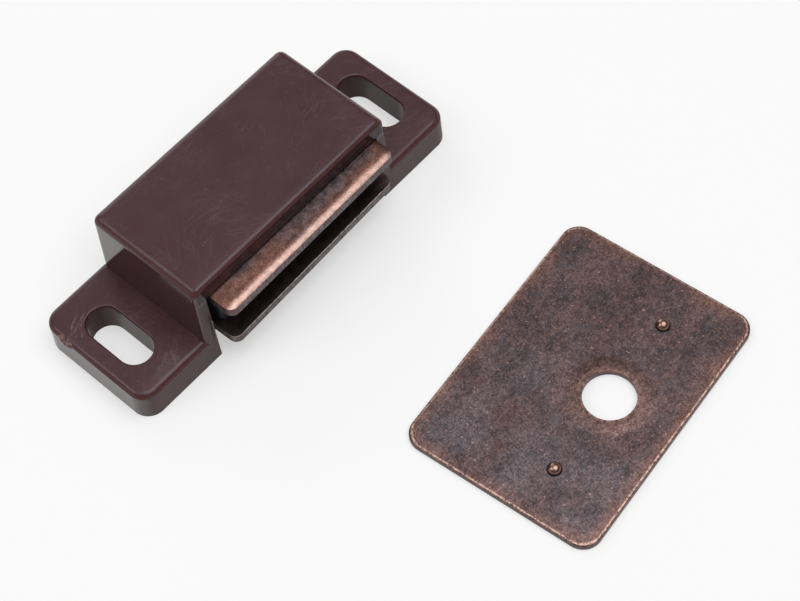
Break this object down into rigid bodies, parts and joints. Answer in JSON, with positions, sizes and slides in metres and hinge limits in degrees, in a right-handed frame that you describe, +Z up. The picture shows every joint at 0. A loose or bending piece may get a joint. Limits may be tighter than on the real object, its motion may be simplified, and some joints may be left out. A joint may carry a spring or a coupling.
{
  "type": "magnetic catch",
  "caption": "Surface-mounted magnetic cabinet catch: moulded housing with slotted screw ears, a magnet pack that floats between steel pole plates, and a loose steel strike plate.",
  "frame": {"origin": "on the mounting base, midway between the two screw slots", "axes": "+Z up out of the base; +X along the row of the two screw slots; the pole plates look out of the front towards -Y"},
  "size_m": [0.0601, 0.0729, 0.0159],
  "materials": {
    "brown_plastic": "satin dark brown moulding",
    "antique_copper": "antique copper plating, darkened, rubbed bright at the edges",
    "antique_copper_strike": "antique copper plating, darkened and mottled",
    "ferrite": "dull charcoal sintered ferrite"
  },
  "bodies": {
    "base": {"housing": "brown_plastic", "strike_plate": "antique_copper_strike"},
    "magnet_pack": {"upper_pole_plate": "antique_copper", "lower_pole_plate": "antique_copper", "magnet": "ferrite"}
  },
  "joints": [
    {"name": "pack_float", "type": "hinge", "parent": "base", "child": "magnet_pack", "pos_m": [0, 0.0071, 0.00875], "axis": [0, 0, 1], "range_deg": [-1.8, 0.15]}
  ]
}
